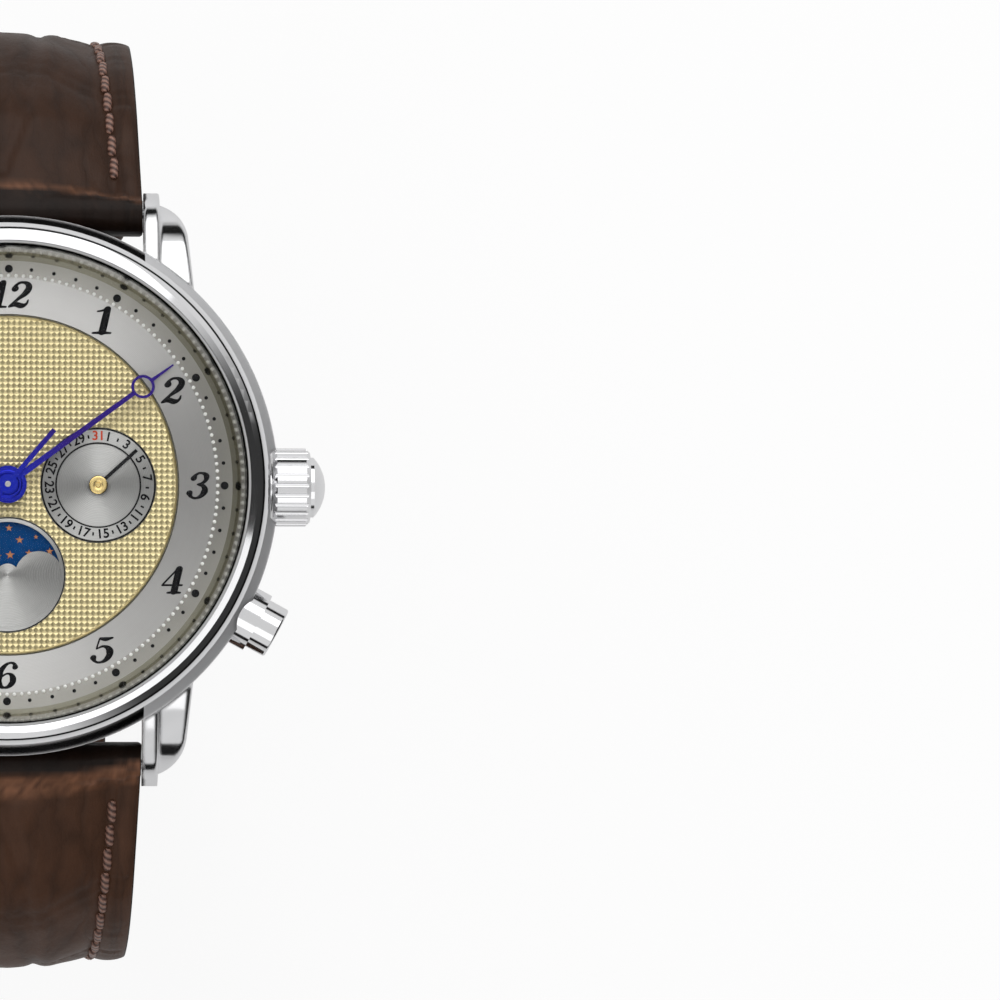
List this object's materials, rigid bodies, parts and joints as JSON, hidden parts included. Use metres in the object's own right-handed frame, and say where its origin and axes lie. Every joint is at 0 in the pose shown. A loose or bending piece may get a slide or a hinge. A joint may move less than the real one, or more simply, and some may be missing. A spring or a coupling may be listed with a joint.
{
  "type": "moon phase wristwatch",
  "caption": "Round steel wristwatch with a moon phase window, pointer date and day-hours small dials, fluted crown, side pusher and a padded leather strap with a tang buckle.",
  "frame": {"origin": "centre of the case back's outer flat face, which lies on the wearer's wrist", "axes": "+Z out through the dial, +Y towards 12 o'clock, +X towards 3 o'clock and the crown"},
  "size_m": [0.0471, 0.0782, 0.0841],
  "materials": {
    "polished_steel": "mirror polished stainless steel",
    "case_steel": "stainless steel, satin shoulder and polished lugs",
    "inner_steel": "plain steel",
    "sapphire": "clear, polished",
    "rubber": "matt black seal",
    "silver_dial": "circular brushed silver",
    "gold_dial": "champagne gold, hobnail pattern",
    "white_rim": "silver white with grooves",
    "flange_black": "polished reflecting wall",
    "moon_plate_silver": "silver, spun rings",
    "sky_blue": "deep blue lacquer with copper stars",
    "blued_steel": "polished blued steel",
    "black_hand": "black lacquer",
    "movement_brass": "plain brass",
    "plastic_white": "moulded holder",
    "circuit_green": "circuit board",
    "copper_wire": "enamelled copper wire",
    "leather": "dark brown embossed leather, glossy"
  },
  "bodies": {
    "case": {"case_middle": "case_steel", "bezel": "polished_steel", "crystal": "sapphire", "crystal_gasket": "rubber", "dial_flange": "flange_black", "case_back": "case_steel", "case_back_gasket": "rubber", "movement_holder": "plastic_white", "main_plate": "movement_brass", "train_bridge": "inner_steel", "movement_screws": "inner_steel", "battery": "polished_steel", "battery_clamp": "inner_steel", "coil": "copper_wire", "stepping_motor": "inner_steel", "circuit_board": "circuit_green", "dial_plate": "silver_dial", "dial_centre": "gold_dial", "date_subdial": "white_rim", "day_hours_subdial": "white_rim", "moon_plate": "moon_plate_silver", "crown_tube": "polished_steel", "pusher_tube": "polished_steel", "spring_bar_upper": "inner_steel", "spring_bar_lower": "inner_steel"},
    "minutes": {"minute_hand": "blued_steel", "cannon_pinion": "movement_brass"},
    "hours": {"hour_hand": "blued_steel", "hour_wheel": "movement_brass"},
    "motion_wheel": {"minute_wheel": "movement_brass"},
    "third": {"third_wheel": "movement_brass"},
    "seconds": {"seconds_hand": "blued_steel", "seconds_wheel": "inner_steel"},
    "idler": {"day_idler": "movement_brass"},
    "day_hours": {"day_hours_hand": "black_hand", "day_wheel": "movement_brass"},
    "date": {"date_hand": "black_hand", "date_wheel": "movement_brass"},
    "moon": {"moon_disc": "sky_blue", "moon_wheel": "movement_brass"},
    "setting": {"setting_lever": "inner_steel"},
    "crown_and_stem": {"crown": "polished_steel", "crown_cap": "polished_steel", "crown_gasket": "rubber", "stem": "inner_steel", "setting_pinion": "inner_steel"},
    "pusher": {"pusher_button": "polished_steel", "pusher_clip": "inner_steel", "pusher_spring": "inner_steel"},
    "upper_strap": {"strap_upper": "leather", "keeper_fixed": "leather", "buckle_bar": "inner_steel"},
    "lower_strap": {"strap_lower": "leather"},
    "sliding_keeper": {"keeper_free": "leather"},
    "buckle": {"buckle_frame": "polished_steel"},
    "tongue": {"buckle_tongue": "polished_steel"}
  },
  "joints": [
    {"name": "minutes_turn", "type": "hinge", "parent": "case", "child": "minutes", "pos_m": [0, 0, 0.0074], "axis": [0, 0, -1], "continuous": true},
    {"name": "hours_turn", "type": "hinge", "parent": "case", "child": "hours", "pos_m": [0, 0, 0.0071], "axis": [0, 0, -1], "continuous": true},
    {"name": "motion_wheel_turn", "type": "hinge", "parent": "case", "child": "motion_wheel", "pos_m": [0.00156, 0.0027, 0.0051], "axis": [0, 0, -1], "continuous": true},
    {"name": "third_wheel_turn", "type": "hinge", "parent": "case", "child": "third", "pos_m": [0.00295, -0.00206, 0.0027], "axis": [0, 0, -1], "continuous": true},
    {"name": "seconds_turn", "type": "hinge", "parent": "case", "child": "seconds", "pos_m": [0, 0, 0.0077], "axis": [0, 0, -1], "continuous": true},
    {"name": "idler_turn", "type": "hinge", "parent": "case", "child": "idler", "pos_m": [-0.00293, -0.00141, 0.00575], "axis": [0, 0, -1], "continuous": true},
    {"name": "day_hours_turn", "type": "hinge", "parent": "case", "child": "day_hours", "pos_m": [-0.0072, 0, 0.00672], "axis": [0, 0, -1], "continuous": true},
    {"name": "date_turn", "type": "hinge", "parent": "case", "child": "date", "pos_m": [0.0072, 0, 0.00672], "axis": [0, 0, -1], "continuous": true},
    {"name": "moon_turn", "type": "hinge", "parent": "case", "child": "moon", "pos_m": [0, -0.0072, 0.0061], "axis": [0, 0, -1], "continuous": true},
    {"name": "crown_pull", "type": "slide", "parent": "case", "child": "setting", "axis": [1, 0, 0], "range_m": [0, 0.0012]},
    {"name": "crown_turn", "type": "hinge", "parent": "setting", "child": "crown_and_stem", "pos_m": [0.0212, 0, 0.0042], "axis": [1, 0, 0], "continuous": true},
    {"name": "pusher_press", "type": "slide", "parent": "case", "child": "pusher", "axis": [-0.878, 0.4787, 0], "range_m": [0, 0.0007], "stiffness_N_per_m": 800, "springref_m": -0.0006},
    {"name": "upper_strap_hinge", "type": "hinge", "parent": "case", "child": "upper_strap", "pos_m": [0, 0.0223, 0.00155], "axis": [1, 0, 0], "range_deg": [-15, 60]},
    {"name": "lower_strap_hinge", "type": "hinge", "parent": "case", "child": "lower_strap", "pos_m": [0, -0.0223, 0.00155], "axis": [-1, 0, 0], "range_deg": [-10, 60]},
    {"name": "keeper_slide_round", "type": "hinge", "parent": "upper_strap", "child": "sliding_keeper", "pos_m": [0, -0.0047, -0.01736], "axis": [1, 0, 0], "range_deg": [-6.5, 10]},
    {"name": "buckle_hinge", "type": "hinge", "parent": "upper_strap", "child": "buckle", "pos_m": [0, 0.01147, -0.05613], "axis": [1, 0, 0], "range_deg": [-25, 25]},
    {"name": "tongue_hinge", "type": "hinge", "parent": "buckle", "child": "tongue", "pos_m": [0, 0.01147, -0.05613], "axis": [1, 0, 0], "range_deg": [0, 90]}
  ],
  "couplings": [
    {"joint": "hours_turn", "follows": "minutes_turn", "ratio": 0.083333},
    {"joint": "motion_wheel_turn", "follows": "minutes_turn", "ratio": -0.33333},
    {"joint": "third_wheel_turn", "follows": "minutes_turn", "ratio": -8},
    {"joint": "seconds_turn", "follows": "minutes_turn", "ratio": 60},
    {"joint": "idler_turn", "follows": "minutes_turn", "ratio": -0.052083},
    {"joint": "day_hours_turn", "follows": "minutes_turn", "ratio": 0.041667},
    {"joint": "date_turn", "follows": "minutes_turn", "ratio": 0.0013441},
    {"joint": "moon_turn", "follows": "minutes_turn", "ratio": 0.00070621}
  ]
}
